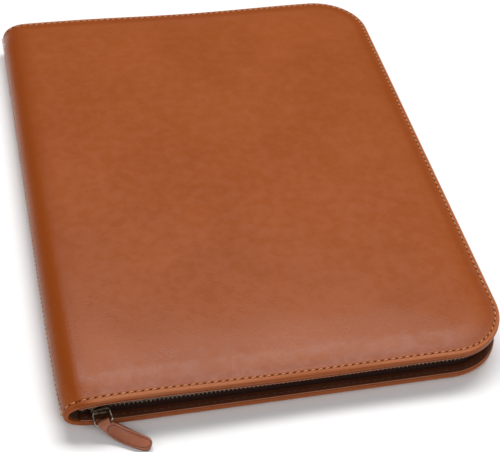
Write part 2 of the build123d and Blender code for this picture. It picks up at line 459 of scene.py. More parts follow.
def tapeProfile():
    # flat margin, a bend, and a wall with a thicker bead at the teeth
    half = tape["thickness"] / 2
    level = cover["top"] + half
    centre = [(tape["flange"], level), (3.2, level), (tape["wall"] - tape["bend"], level)]
    for step in range(1, 6):
        angle = step / 5 * math.pi / 2
        centre.append((tape["wall"] - tape["bend"] + tape["bend"] * math.sin(angle),
                       level + tape["bend"] - tape["bend"] * math.cos(angle)))
    centre += [(tape["wall"], 8.0), (tape["wall"], 9.6), (tape["wall"], tape["top"])]
    sides = ([], [])
    for index, (inset, depth) in enumerate(centre):
        before = centre[max(index - 1, 0)]
        after = centre[min(index + 1, len(centre) - 1)]
        run = (after[0] - before[0], after[1] - before[1])
        size = math.hypot(*run)
        thick = half * (1.7 if index >= len(centre) - 2 else 1.0)
        step = (-run[1] / size * thick, run[0] / size * thick)
        sides[0].append((inset + step[0], depth + step[1]))
        sides[1].append((inset - step[0], depth - step[1]))
    return sides[0] + sides[1][::-1]


def spineFrame(share, y, depth):
    # point of the spine at a depth below its outer face; share runs from the lower fold, -1, to the
    # upper, 1
    power = 2 / spine["power"]
    reach = shoulderReach(y) - depth * spine["inward"]
    angle = share * math.acos((spine["lead"] / reach) ** (1 / power))
    rise = middleHeight - droopAt(case["foldLine"], y) - depth
    x = case["foldLine"] + spine["lead"] - reach * abs(math.cos(angle)) ** power
    z = middleHeight + rise * math.copysign(abs(math.sin(angle)) ** power, angle)
    return x, z


def spineShares(low, high, count):
    return [low + (high - low) * step / count for step in range(count + 1)]


def spineRow(profileInset, depth, shares, side, seam=False):
    y = side * (case["halfLength"] - profileInset)
    row = []
    for share in shares:
        extra = spine["seamDip"] * math.exp(-abs(share) / spine["seamWidth"]) if seam else 0.0
        x, z = spineFrame(share, y, depth + extra)
        row.append((x, y, z))
    return row


def spineEdges():
    # (inset, depth) from the middle of the length to the turned-in edge
    insets = [0.25 * step for step in range(8, 20)] + [5 + 0.8 * step for step in range(10)]
    insets += [13 + 4 * step for step in range(1, 8)] + [45, 60, 80, 100, 125, 150]
    return [(inset, edgeDepth(inset)) for inset in insets[::-1] + [cover["rim"]]]


def spineTone(x, y, z):
    # painted shade on the two shoulders of the spine, where its curve turns away from the light
    return tones["spine"] * bell(abs(z - middleHeight), tones["spineHeight"], tones["spineWidth"])


def makeSpineLeather(name, low, high):
    shares = spineShares(low, high, spine["profileSteps"])
    half = spineEdges() + edgeProfile(edgeDepth(cover["rim"]))[:-2]
    rows = [spineRow(inset, depth, shares, -1, seam=True) for inset, depth in reversed(half)]
    rows += [spineRow(inset, depth, shares, 1, seam=True) for inset, depth in half]
    piece = gridMesh(name, rows, tone=spineTone)
    orient(piece, Vector((-1, 0, 0)))
    return settled(piece, spine["leather"])


def orient(piece, outward):
    # turns all faces round where on the whole they look the wrong way
    mesh = piece.data
    total = sum((face.normal * face.area for face in mesh.polygons), Vector())
    if total.dot(outward) < 0:
        mesh.flip_normals()


def makeSpineLayer(name, depthLow, depthHigh, endInset, follow=0.0):
    # follow is the share of the outer leather's dip at the ends that the layer takes up
    shares = spineShares(-1, 1, 2 * spine["profileSteps"])
    insets = [endInset + 0.5 * step for step in range(4)] + [endInset + 2 + 2 * step for step in range(10)]
    insets += [endInset + 22 + 8 * step for step in range(20)]
    insets = [inset for inset in insets if inset < case["halfLength"]] + [case["halfLength"]]
    rows = []
    for side, order in ((-1, insets), (1, insets[-2::-1])):
        for inset in order:
            rows.append(spineRow(inset, depthLow + follow * edgeDepth(inset), shares, side))
    piece = gridMesh(name, rows)
    orient(piece, Vector((-1, 0, 0)))
    return settled(piece, depthHigh - depthLow)


def buildRepeatTree():
    tree = bpy.data.node_groups.new("repeatAlong", "GeometryNodeTree")
    tree.is_modifier = True
    face = tree.interface
    face.new_socket(name="Geometry", in_out="INPUT", socket_type="NodeSocketGeometry")
    for label, kind in (("Piece", "Object"), ("Finish", "Material"), ("Pitch", "Float"), ("Slant", "Float"),
                        ("Jitter", "Float"), ("Every", "Int"), ("First", "Int"), ("Start", "Int"),
                        ("Seed", "Int")):
        face.new_socket(name=label, in_out="INPUT", socket_type="NodeSocket" + kind)
    face.new_socket(name="Geometry", in_out="OUTPUT", socket_type="NodeSocketGeometry")
    def add(kind, **settings):
        node = tree.nodes.new(kind)
        for key, value in settings.items():
            setattr(node, key, value)
        return node
    def join(first, output, second, socket):
        tree.links.new(first.outputs[output], second.inputs[socket])
    source = add("NodeGroupInput")
    result = add("NodeGroupOutput")
    curve = add("GeometryNodeMeshToCurve")
    join(source, "Geometry", curve, "Mesh")
    resample = add("GeometryNodeResampleCurve", mode="LENGTH")
    join(curve, "Curve", resample, "Curve")
    join(source, "Pitch", resample, "Length")
    up = add("GeometryNodeInputNamedAttribute", data_type="FLOAT_VECTOR")
    up.inputs["Name"].default_value = "up"
    tangent = add("GeometryNodeInputTangent")
    stand = add("FunctionNodeAlignRotationToVector", axis="Z")
    join(up, "Attribute", stand, "Vector")
    follow = add("FunctionNodeAlignRotationToVector", axis="X", pivot_axis="Z")
    join(stand, "Rotation", follow, "Rotation")
    join(tangent, "Tangent", follow, "Vector")
    chance = add("FunctionNodeRandomValue", data_type="FLOAT")
    chance.inputs[2].default_value = -1.0
    chance.inputs[3].default_value = 1.0
    join(source, "Seed", chance, "Seed")
    sway = add("ShaderNodeMath", operation="MULTIPLY_ADD")
    join(chance, 1, sway, 0)
    join(source, "Jitter", sway, 1)
    join(source, "Slant", sway, 2)
    euler = add("ShaderNodeCombineXYZ")
    join(sway, 0, euler, "Z")
    turn = add("FunctionNodeEulerToRotation")
    join(euler, 0, turn, 0)
    rotate = add("FunctionNodeRotateRotation", rotation_space="LOCAL")
    join(follow, "Rotation", rotate, "Rotation")
    join(turn, 0, rotate, "Rotate By")
    index = add("GeometryNodeInputIndex")
    rest = add("FunctionNodeIntegerMath", operation="MODULO")
    join(index, 0, rest, 0)
    join(source, "Every", rest, 1)
    chosen = add("FunctionNodeCompare", data_type="INT", operation="EQUAL")
    join(rest, 0, chosen, 2)
    join(source, "First", chosen, 3)
    begun = add("FunctionNodeCompare", data_type="INT", operation="GREATER_EQUAL")
    join(index, 0, begun, 2)
    join(source, "Start", begun, 3)
    both = add("FunctionNodeBooleanMath", operation="AND")
    join(chosen, 0, both, 0)
    join(begun, 0, both, 1)
    piece = add("GeometryNodeObjectInfo")
    join(source, "Piece", piece, "Object")
    copies = add("GeometryNodeInstanceOnPoints")
    join(resample, "Curve", copies, "Points")
    join(both, 0, copies, "Selection")
    join(piece, "Geometry", copies, "Instance")
    join(rotate, 0, copies, "Rotation")
    real = add("GeometryNodeRealizeInstances")
    join(copies, 0, real, 0)
    finish = add("GeometryNodeSetMaterial")
    join(real, 0, finish, "Geometry")
    join(source, "Finish", finish, "Material")
    join(finish, 0, result, "Geometry")
    return tree


repeatTree = buildRepeatTree()
patterns = []


def addPattern(name, points, faces):
    piece = settled(toMesh(name, points, faces), outwards=True)
    patterns.append(piece)
    return piece


def repeatAlong(name, chains, pattern, finish, **settings):
    # sets copies of a small pattern piece along chains of (point, up) pairs
    points = []
    ups = []
    edges = []
    for chain in chains:
        first = len(points)
        points += [Vector(point) * mm for point, up in chain]
        ups += [component for point, up in chain for component in up]
        edges += [(first + step, first + step + 1) for step in range(len(chain) - 1)]
    mesh = bpy.data.meshes.new(name)
    mesh.from_pydata(points, edges, [])
    layer = mesh.attributes.new("up", "FLOAT_VECTOR", "POINT")
    layer.data.foreach_set("vector", ups)
    piece = addObject(name, mesh)
    modifier = piece.modifiers.new("repeat", "NODES")
    modifier.node_group = repeatTree
    values = {"Piece": pattern, "Finish": finish, "Pitch": 4.2, "Slant": 0.0, "Jitter": 0.0,
              "Every": 1, "First": 0, "Start": 0, "Seed": 3}
    values.update(settings)
    values["Pitch"] *= mm
    for socket in repeatTree.interface.items_tree:
        if socket.in_out == "INPUT" and socket.name in values:
            modifier[socket.identifier] = values[socket.name]
    takeResult(piece)
    if "up" in piece.data.attributes:
        piece.data.attributes.remove(piece.data.attributes["up"])
    return piece


def tube(name, centres, radii, sides=8, flatten=1.0):
    # closed round form along a list of centres in the XZ plane, such as one stitch
    rows = []
    for index, centre in enumerate(centres):
        before = Vector(centres[max(index - 1, 0)])
        after = Vector(centres[min(index + 1, len(centres) - 1)])
        run = (after - before).normalized()
        up = Vector((-run.z, 0, run.x))
        row = []
        for side in range(sides):
            angle = side / sides * 2 * math.pi
            offset = Vector((0, 1, 0)) * math.cos(angle) + up * math.sin(angle) * flatten
            row.append(tuple(Vector(centre) + offset * radii[index]))
        rows.append(row)
    points = [point for row in rows for point in row]
    faces = []
    for i in range(len(rows) - 1):
        for j in range(sides):
            other = (j + 1) % sides
            faces.append([i * sides + j, i * sides + other, (i + 1) * sides + other, (i + 1) * sides + j])
    faces.append(list(range(sides)))
    faces.append([(len(rows) - 1) * sides + j for j in range(sides)])
    return addPattern(name, points, faces)


def makeStitchPattern(name, length, radius, sink):
    half = length / 2
    centres = [(-half, 0, -sink), (-half * 0.88, 0, -sink * 0.25), (-half * 0.6, 0, radius * 0.3),
               (0, 0, radius * 0.5)]
    centres += [(-x, 0, z) for x, y, z in centres[2::-1]]
    return tube(name, centres, [radius * share for share in (0.55, 0.85, 1.0, 1.05, 1.0, 0.85, 0.55)], 8, 0.8)


def makeHolePattern(name, length, width):
    # closed lens of dark shadow where the needle pressed the leather in
    sides = 12
    points = [(0, 0, 0.10)]
    for ring, height in ((0.6, 0.09), (1.0, -0.02)):
        for side in range(sides):
            angle = side / sides * 2 * math.pi
            points.append((length / 2 * ring * math.cos(angle), width / 2 * ring * math.sin(angle), height))
    points.append((0, 0, -0.25))
    faces = [[0, 1 + j, 1 + (j + 1) % sides] for j in range(sides)]
    for j in range(sides):
        k = (j + 1) % sides
        faces.append([1 + j, 1 + sides + j, 1 + sides + k, 1 + k])
        faces.append([1 + sides + j, 1 + 2 * sides, 1 + sides + k])
    return addPattern(name, points, faces)


def makeToothPattern():
    # one metal tooth: two legs that grip the tape, a waist and a rounded head that points up
    outline = [(-1.15, -2.0), (1.15, -2.0), (1.3, -1.6), (1.25, -0.9), (0.95, -0.45), (1.0, 0.1), (1.1, 0.45),
               (0.75, 0.85), (-0.75, 0.85), (-1.1, 0.45), (-1.0, 0.1), (-0.95, -0.45),
                (-1.25, -0.9), (-1.3, -1.6)]
    count = len(outline)
    points = []
    for x, size in ((-0.52, 0.8), (-0.36, 1.0), (0.36, 1.0), (0.52, 0.8)):
        points += [(x, y * size, (z + 0.9) * size - 0.9) for y, z in outline]
    faces = [list(range(count)), [3 * count + j for j in range(count)]]
    for i in range(3):
        for j in range(count):
            k = (j + 1) % count
            faces.append([i * count + j, i * count + k, (i + 1) * count + k, (i + 1) * count + j])
    piece = addPattern("toothPattern", points, faces)
    piece.data.shade_flat()
    return piece


def coverChain(inset, depth, front, left, surface=False, outerSide=True):
    # path along a cover's open edges; the up vectors leave the face that it lies on
    chain = []
    up = 1.0 if front == outerSide else -1.0
    for x, y in outlineAt(inset, left):
        level = depth + (faceDepth(x, y, inset) if surface else 0.0)
        chain.append((place(x, y, level, front), (0, 0, up)))
    return chain


def spineEndChain(inset, side, low, high):
    y = side * (case["halfLength"] - inset)
    chain = []
    for share in spineShares(low, high, 40):
        x, z = spineFrame(share, y, edgeDepth(inset))
        inner = spineFrame(share, y, edgeDepth(inset) + 1.0)
        up = Vector((x - inner[0], 0, z - inner[1])).normalized()
        chain.append(((x, y, z), tuple(up)))
    return chain


def newMaterial(name, **sockets):
    material = bpy.data.materials.new(name)
    material.use_nodes = True
    shader = material.node_tree.nodes["Principled BSDF"]
    for key, value in sockets.items():
        shader.inputs[key.replace("_", " ")].default_value = value
    return material, material.node_tree.nodes, material.node_tree.links, shader


def newGroup(name, inputs, outputs):
    group = bpy.data.node_groups.new(name, "ShaderNodeTree")
    for label, kind, value in inputs:
        socket = group.interface.new_socket(name=label, in_out="INPUT", socket_type="NodeSocket" + kind)
        if value is not None:
            socket.default_value = value
    for label, kind in outputs:
        group.interface.new_socket(name=label, in_out="OUTPUT", socket_type="NodeSocket" + kind)
    return group, group.nodes.new("NodeGroupInput"), group.nodes.new("NodeGroupOutput")


def addBump(tree, shader, height, strength, reach):
    bump = tree.nodes.new("ShaderNodeBump")
    bump.inputs["Strength"].default_value = strength
    bump.inputs["Distance"].default_value = reach * mm
    tree.links.new(height, bump.inputs["Height"])
    tree.links.new(bump.outputs["Normal"], shader.inputs["Normal"])


def noise(group, vector, scale, detail=3.0, roughness=0.55):
    node = group.nodes.new("ShaderNodeTexNoise")
    node.inputs["Scale"].default_value = scale
    node.inputs["Detail"].default_value = detail
    node.inputs["Roughness"].default_value = roughness
    group.links.new(vector, node.inputs["Vector"])
    return node.outputs["Fac"]


def remap(group, value, low, high, toLow=0.0, toHigh=1.0):
    node = group.nodes.new("ShaderNodeMapRange")
    node.interpolation_type = "SMOOTHSTEP"
    for index, amount in ((1, low), (2, high), (3, toLow), (4, toHigh)):
        node.inputs[index].default_value = amount
    group.links.new(value, node.inputs[0])
    return node.outputs[0]


def calc(group, operation, first, second, third=None):
    node = group.nodes.new("ShaderNodeMath")
    node.operation = operation
    for socket, value in zip(node.inputs, (first, second, third)):
        if isinstance(value, (int, float)):
            socket.default_value = value
        elif value is not None:
            group.links.new(value, socket)
    return node.outputs[0]


def mixColour(group, factor, first, second, kind="MIX"):
    node = group.nodes.new("ShaderNodeMix")
    node.data_type = "RGBA"
    node.blend_type = kind
    for socket, value in ((node.inputs[0], factor), (node.inputs[6], first), (node.inputs[7], second)):
        if hasattr(value, "is_linked"):
            group.links.new(value, socket)
        else:
            socket.default_value = value if isinstance(value, float) else (*value, 1)
    return node.outputs[2]


def buildHideTone():
    # cloudy dye of a vegetable-tanned hide: paler clouds, deeper patches, small pores; the mesh's tone mixes
    # in the deep colour, as painted shade or as an edge colour, and where it is below zero, the painted
    # highlight
    group, source, result = newGroup(
        "hideTone",
        [("Vector", "Vector", None), ("Tan", "Color", (0.4, 0.13, 0.04, 1)),
         ("Pale", "Color", (0.5, 0.2, 0.08, 1)), ("Deep", "Color", (0.25, 0.06, 0.01, 1)),
         ("Highlight", "Color", (0.5, 0.2, 0.08, 1)), ("ShadingAndEdges", "Float", 0.0), ("Cloud Size", "Float", 22.0)],
        [("Color", "Color"), ("Roughness Shift", "Float")])
    vector = source.outputs["Vector"]
    broad = group.nodes.new("ShaderNodeTexNoise")
    broad.inputs["Detail"].default_value = 4.0
    group.links.new(source.outputs["Cloud Size"], broad.inputs["Scale"])
    group.links.new(vector, broad.inputs["Vector"])
    patch = noise(group, vector, 150.0, 4.0, 0.6)
    speck = noise(group, vector, 1500.0, 2.0, 0.5)
    cloud = remap(group, broad.outputs["Fac"], 0.36, 0.66)
    fine = remap(group, patch, 0.35, 0.7)
    blend = calc(group, "MULTIPLY_ADD", fine, 0.35, calc(group, "MULTIPLY", cloud, 0.65))
    colour = mixColour(group, blend, source.outputs["Tan"], source.outputs["Pale"])
    hollow = calc(group, "MULTIPLY", source.outputs["ShadingAndEdges"], remap(group, patch, 0.2, 0.6, 0.85, 1.0))
    colour = mixColour(group, calc(group, "MAXIMUM", hollow, 0.0), colour, source.outputs["Deep"])
    highlight = calc(group, "MAXIMUM", calc(group, "MULTIPLY", hollow, -1.0), 0.0)
    colour = mixColour(group, highlight, colour, source.outputs["Highlight"])
    pores = remap(group, speck, 0.30, 0.42, 0.14, 0.0)
    colour = mixColour(group, pores, colour, source.outputs["Deep"])
    group.links.new(colour, result.inputs["Color"])
    shift = calc(group, "MULTIPLY_ADD", fine, 0.10, calc(group, "MULTIPLY", speck, 0.06))
    group.links.new(shift, result.inputs["Roughness Shift"])
    return group


def buildHideGrain():
    # fine cells and pores of smooth leather, as a height
    group, source, result = newGroup(
        "hideGrain", [("Vector", "Vector", None), ("Cells", "Float", 900.0), ("Wrinkle", "Float", 0.3)],
        [("Height", "Float")])
    vector = source.outputs["Vector"]
    cells = group.nodes.new("ShaderNodeTexVoronoi")
    cells.feature = "SMOOTH_F1"
    cells.inputs["Smoothness"].default_value = 0.5
    group.links.new(source.outputs["Cells"], cells.inputs["Scale"])
    group.links.new(vector, cells.inputs["Vector"])
    pebbles = calc(group, "SUBTRACT", 1.0, cells.outputs["Distance"])
    dust = noise(group, vector, 3200.0, 3.0, 0.6)
    waves = noise(group, vector, 210.0, 5.0, 0.65)
    wrinkles = calc(group, "MULTIPLY", waves, source.outputs["Wrinkle"])
    height = calc(group, "MULTIPLY_ADD", pebbles, 0.55, calc(group, "MULTIPLY", dust, 0.3))
    height = calc(group, "ADD", height, wrinkles)
    group.links.new(height, result.inputs["Height"])
    return group


hideTone = buildHideTone()
hideGrain = buildHideGrain()


def useGroup(nodes, group, **values):
    node = nodes.new("ShaderNodeGroup")
    node.node_tree = group
    for key, value in values.items():
        node.inputs[key.replace("_", " ")].default_value = value
    return node


def leatherMaterial(name, look):
    material, nodes, links, shader = newMaterial(
        name, Roughness=look["roughness"], Specular_IOR_Level=look["specular"])
    where = nodes.new("ShaderNodeTexCoord")
    tree = material.node_tree
    hollow = nodes.new("ShaderNodeAttribute")
    hollow.attribute_name = "tone"
    colours = {key.capitalize(): (*look[key], 1) for key in ("tan", "pale", "deep", "highlight")}
    tone = useGroup(nodes, hideTone, Cloud_Size=look["cloud"], **colours)
    links.new(where.outputs["Object"], tone.inputs["Vector"])
    links.new(hollow.outputs["Fac"], tone.inputs["ShadingAndEdges"])
    grain = useGroup(nodes, hideGrain, Cells=look["cells"], Wrinkle=look["wrinkle"])
    links.new(where.outputs["Object"], grain.inputs["Vector"])
    links.new(tone.outputs["Color"], shader.inputs["Base Color"])
    rough = calc(tree, "ADD", tone.outputs["Roughness Shift"], look["roughness"] - 0.08)
    links.new(rough, shader.inputs["Roughness"])
    addBump(tree, shader, grain.outputs["Height"], look["bump"], look["bumpHeight"])
    return material


leatherLooks = {
    # the outer leather's highlight colour is the painted highlight on the rounded rim; its deep colour also
    # gives the painted shade beside the spine
    "outer": {"tan": (0.260, 0.059, 0.0095), "pale": (0.295, 0.071, 0.015), "deep": (0.225, 0.042, 0.002),
              "highlight": (0.47, 0.165, 0.070), "roughness": 0.31, "specular": 0.15, "cells": 950.0,
               "wrinkle": 0.45,
              "bump": 0.55, "bumpHeight": 0.12, "cloud": 22.0},
    # the facing's tan and pale are darkened as painted shade, for the shade under the covers' lips; its deep
    # colour holds the paler cut edge
    "facing": {"tan": (0.070, 0.018, 0.006), "pale": (0.105, 0.028, 0.011), "deep": (0.33, 0.125, 0.062),
               "highlight": (0.33, 0.125, 0.062), "roughness": 0.5, "specular": 0.2, "cells": 1300.0,
                "wrinkle": 0.3,
               "bump": 0.35, "bumpHeight": 0.1, "cloud": 22.0},
    "inner": {"tan": (0.26, 0.066, 0.015), "pale": (0.31, 0.088, 0.026), "deep": (0.17, 0.036, 0.004),
              "highlight": (0.38, 0.12, 0.04), "roughness": 0.48, "specular": 0.36, "cells": 1100.0,
               "wrinkle": 0.4,
              "bump": 0.35, "bumpHeight": 0.1, "cloud": 22.0},
    # the tab is paler than the cover leather, partly as painted light that makes up for the light it misses
    # in the case's shade
    "tab": {"tan": (0.29, 0.086, 0.042), "pale": (0.37, 0.125, 0.068), "deep": (0.085, 0.013, 0.003),
            "highlight": (0.40, 0.15, 0.08), "roughness": 0.40, "specular": 0.35, "cells": 1200.0, "wrinkle": 0.5,
            "bump": 0.35, "bumpHeight": 0.1, "cloud": 90.0},
}
outerLeather = leatherMaterial("waxedTanLeather", leatherLooks["outer"])
facingLeather = leatherMaterial("facingLeather", leatherLooks["facing"])
innerLeather = leatherMaterial("innerLeather", leatherLooks["inner"])
tabLeather = leatherMaterial("tabLeather", leatherLooks["tab"])


def simpleMaterial(name, base, other, scale, roughness, bumpHeight=0.05, metallic=0.0, specular=0.5):
    # two-tone finish with a fine bump, for parts that need no weave
    material, nodes, links, shader = newMaterial(name, Metallic=metallic, Roughness=roughness,
                                                 Specular_IOR_Level=specular)
    tree = material.node_tree
    where = nodes.new("ShaderNodeTexCoord").outputs["Object"]
    spots = remap(tree, noise(tree, where, scale, 4.0, 0.6), 0.35, 0.68)
    links.new(mixColour(tree, spots, base, other), shader.inputs["Base Color"])
    rough = calc(tree, "MULTIPLY_ADD", noise(tree, where, scale * 2.3, 3.0), 0.22, roughness - 0.11)
    links.new(rough, shader.inputs["Roughness"])
    addBump(tree, shader, noise(tree, where, scale * 5, 3.0), 0.4, bumpHeight)
    return material


threadFinish = simpleMaterial("waxedThread", (0.40, 0.155, 0.055), (0.55, 0.25, 0.11), 900.0, 0.55, 0.08)
underThread = simpleMaterial("brownThread", (0.040, 0.012, 0.005), (0.065, 0.021, 0.009), 900.0, 0.6, 0.08)
tabThread = simpleMaterial("darkThread", (0.13, 0.040, 0.018), (0.20, 0.070, 0.034), 900.0, 0.6, 0.08)
holeFinish = simpleMaterial("needleHole", (0.040, 0.009, 0.002), (0.065, 0.016, 0.005), 900.0, 0.9, 0.05,
                            specular=0.2)
toothMetal = simpleMaterial("nickelTeeth", (0.12, 0.095, 0.075), (0.34, 0.29, 0.235), 700.0, 0.34, 0.02, 1.0)
sliderMetal = simpleMaterial("antiqueNickel", (0.11, 0.085, 0.058), (0.44, 0.38, 0.29), 260.0, 0.24,
                             0.02, 1.0)
foamFinish = simpleMaterial("feltPadding", (0.15, 0.095, 0.060), (0.22, 0.150, 0.100), 800.0, 0.95, 0.2)
boardFinish = simpleMaterial("fibreBoard", (0.36, 0.28, 0.20), (0.48, 0.40, 0.30), 650.0, 0.85, 0.1)


def wovenMaterial(name, base, other, pitch, roughness, bumpHeight, coordinate="UV"):
    # plain weave: two sets of round threads, each over the other in turn
    material, nodes, links, shader = newMaterial(name, Roughness=roughness, Specular_IOR_Level=0.08)
    tree = material.node_tree
    where = nodes.new("ShaderNodeTexCoord").outputs[coordinate]
    split = nodes.new("ShaderNodeSeparateXYZ")
    links.new(where, split.inputs[0])
    turns = math.pi / (pitch * mm)
    warp = calc(tree, "SINE", calc(tree, "MULTIPLY", split.outputs["X"], turns), 0.0)
    weft = calc(tree, "SINE", calc(tree, "MULTIPLY", split.outputs["Y"], turns), 0.0)
    crossing = calc(tree, "MULTIPLY", warp, weft)
    height = calc(tree, "MULTIPLY_ADD", crossing, 0.5, 0.5)
    rounding = calc(tree, "ADD", calc(tree, "ABSOLUTE", warp, 0.0), calc(tree, "ABSOLUTE", weft, 0.0))
    height = calc(tree, "MULTIPLY_ADD", rounding, 0.35, height)
    fuzz = noise(tree, where, 2500.0, 2.0)
    height = calc(tree, "MULTIPLY_ADD", fuzz, 0.4, height)
    # colour follows the weave's height, darker between the threads: painted shade
    cloth = mixColour(tree, remap(tree, height, 0.2, 1.4), base, other)
    links.new(cloth, shader.inputs["Base Color"])
    addBump(tree, shader, height, 0.6, bumpHeight)
    return material


tapeCloth = wovenMaterial("zipTapeWeave", (0.010, 0.004, 0.003), (0.030, 0.012, 0.009), 0.45, 0.8, 0.12)
liningCloth = wovenMaterial("liningTwill", (0.045, 0.018, 0.010), (0.095, 0.042, 0.026), 0.5, 0.75, 0.1,
                            "Object")
spineCloth = wovenMaterial("spineLiningTwill", (0.045, 0.018, 0.010), (0.095, 0.042, 0.026), 0.5, 0.75, 0.1)

say("materials")


def finishPiece(piece, body, slotName, *nodes, material=None):
    if material:
        setFinish(piece, material)
    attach(piece, body)
    if nodes:
        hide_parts(*nodes)
    return piece


stitchPattern = makeStitchPattern("stitchPattern", 2.7, 0.38, 0.35)
holePattern = makeHolePattern("holePattern", 2.4, 1.5)
toothPattern = makeToothPattern()
teeth = {"pitch": 1.2, "lead": 3.8, "frontSkip": 13}  # two steps of the pitch are one tooth of a row
boardPanel = {"inset": 1.4, "low": 2.3, "high": 3.6, "left": -117.4}
coverPad = {"inset": 7.5, "low": 1.0, "high": 2.25, "left": -117.4}
stripEnds = {"facing": -118.6, "tape": -118.4}
sewing = {"pitch": 2.1, "jitter": 0.05, "start": 1.5}  # two steps of the pitch are one stitch and one hole


def sew(name, chains, pattern, finish, slant=0.0, pitch=sewing["pitch"]):
    return repeatAlong(name, chains, pattern, finish, Pitch=pitch, Every=2, First=1,
                       Slant=math.radians(slant), Jitter=sewing["jitter"])


def pierce(name, chains, pattern, slant=0.0, pitch=sewing["pitch"]):
    return repeatAlong(name, chains, pattern, holeFinish, Pitch=pitch, Every=2, First=0,
                       Slant=math.radians(slant))


lining = {"spineInset": 2.2, "inset": 8.4, "high": 5.3, "left": -118.4, "turnDown": 3.9, "cloth": 0.5}
liningLead = (0.0, 0.08, 0.25, 0.6)


def makeLining(front):
    # cloth glued over the turned-in margin; at the spine side it turns down over the end of the board
    name = "front_lining_cloth" if front else "back_lining_cloth"
    left = lining["left"]
    def depthAt(x, y, inset):
        down = 1 - smooth((x - left) / 0.6) ** 0.5
        edge = 0.35 * (1 - smooth((inset - lining["inset"]) / 1.2))
        return -lining["turnDown"] * down - edge
    profile = [(inset, lining["high"]) for inset in insetsTo(lining["inset"])]
    rows = coverRows(profile, left, front, depthAt, lead=liningLead)
    piece = gridMesh(name, rows)
    settled(piece, merge=cover["merge"])
    orient(piece, Vector((0, 0, -1 if front else 1)))
    settled(piece, lining["cloth"])
    return piece


for front in (False, True):
    side = "front" if front else "back"
    body = side + "_cover"
    leather = makeCoverLeather(front)
    finishPiece(leather, body, "outer_leather", side + "_outer_leather", material=outerLeather)

    panel = makeSlab(side + "_board_panel", front, boardPanel)
    finishPiece(panel, body, "board", side + "_board", material=boardFinish)
    pad = makeSlab(side + "_felt_pad", front, coverPad, crowned=True)
    finishPiece(pad, body, "foam", side + "_padding", material=foamFinish)

    strip = makeStrip(side + "_facing_strip", front, facingProfile(), stripEnds["facing"], facingTone)
    finishPiece(strip, body, "facing_leather", side + "_edge_facing", material=facingLeather)
    zipTape = makeStrip(side + "_tape_cloth", front, tapeProfile(), stripEnds["tape"])
    finishPiece(zipTape, body, "zip_tape", side + "_zip_tape", material=tapeCloth)

    up = -1.0 if front else 1.0
    line = outlineAt(tape["wall"], case["foldLine"] + teeth["lead"])
    path = [((x, y, middleHeight), (0, 0, up)) for x, y in line]
    row = repeatAlong(side + "_teeth_row", [path], toothPattern, toothMetal, Pitch=teeth["pitch"], Every=2,
                      First=1 if front else 0, Start=teeth["frontSkip"] if front else 0)
    finishPiece(row, body, "zip_metal", side + "_zip_teeth")

    start = case["foldLine"] + sewing["start"]
    chains = [coverChain(cover["stitchInset"], 0.0, front, start, surface=True)]
    seam = sew(side + "_edge_stitches", chains, stitchPattern, threadFinish, 12)
    finishPiece(seam, body, "thread", side + "_edge_thread")
    inside = [coverChain(cover["stitchInset"], facing["high"], front, start, outerSide=False)]
    under = sew(side + "_facing_stitches", inside, stitchPattern, underThread, 8)
    finishPiece(under, body, "thread")
    finishPiece(pierce(side + "_stitch_holes", chains, holePattern, 18), body, "thread")

    cloth = makeLining(front)
    finishPiece(cloth, body, "lining", side + "_lining", material=liningCloth)
say("covers")


def finishSpine(piece, slotName, *nodes, material=None, keep=0.05):
    finishPiece(piece, "spine", slotName, *nodes, material=material)
    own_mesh(piece)
    return piece


lowerSpine = makeSpineLeather("spine_leather_low_half", -1, 0)
finishSpine(lowerSpine, "outer_leather", "spine_leather_lower", material=outerLeather)
upperSpine = makeSpineLeather("spine_leather_high_half", 0, 1)
finishSpine(upperSpine, "outer_leather", "spine_leather_upper", material=outerLeather)
spinePad = makeSpineLayer("spine_felt_pad", spine["padLow"], spine["padHigh"], spine["padInset"], follow=1.0)
finishSpine(spinePad, "foam", "spine_padding", material=foamFinish)
spineInside = makeSpineLayer("spine_lining_cloth", spine["liningLow"], spine["liningHigh"],
                             lining["spineInset"])
finishSpine(spineInside, "lining", "spine_lining", material=spineCloth)

seamPattern = makeStitchPattern("seamStitchPattern", 3.5, 0.45, 0.3)
seamChain = []
for step in range(139):
    y = -case["halfLength"] + spine["seamEnd"] + step * spine["seamStep"]
    y = min(y, case["halfLength"] - spine["seamEnd"])
    seamChain.append(((spineFrame(0, y, 0.12)[0], y, middleHeight), (-1, 0, 0)))
endChains = [spineEndChain(cover["stitchInset"], side, -spine["endShare"], spine["endShare"])
             for side in (-1, 1)]
seamRow = repeatAlong("spine_centre_stitches", [seamChain], seamPattern, threadFinish, Pitch=3.4,
                      Slant=math.radians(24), Jitter=0.06)
finishSpine(seamRow, "thread", "spine_seam_thread")
finishSpine(sew("spine_end_stitches", endChains, stitchPattern, threadFinish, 7), "thread")
finishSpine(pierce("spine_end_holes", endChains, holePattern, 25), "thread")
say("spine")


for name in ("slider_outer_wing", "slider_inner_wing", "pull_ring"):
    setFinish(frame["nodes"][name], sliderMetal)
for name in ("back_zip_stops", "front_zip_stops"):
    setFinish(frame["nodes"][name], toothMetal)

tab = {
    "thickness": 1.2,  # of one layer of the folded strap
    "gap": 0.06,
    "loopRadius": 1.55,
    "heading": math.radians(-30.7),
    "reach": 27.4,
    "rest": 0.14,
    # share of the reach, share of the drop left, share of the twist done, width
    "stations": [(0.03, 0.90, 0.00, 6.8), (0.12, 0.66, 0.03, 7.8), (0.26, 0.38, 0.08, 8.7),
                 (0.46, 0.12, 0.16, 8.8), (0.72, 0.00, 0.30, 8.3), (0.90, 0.00, 0.42, 7.6),
                 (0.975, 0.00, 0.48, 7.3)],
    "tip": 3.6,
    "stitchInset": 1.35,
    "stitchPitch": 1.4,
}
barJoint = [joint for joint in frame["joints"] if joint["name"] == "tab_swing"][0]
barCentre = Vector(barJoint["pos_m"]) / mm
barDirection = Vector(barJoint["axis"]).normalized()


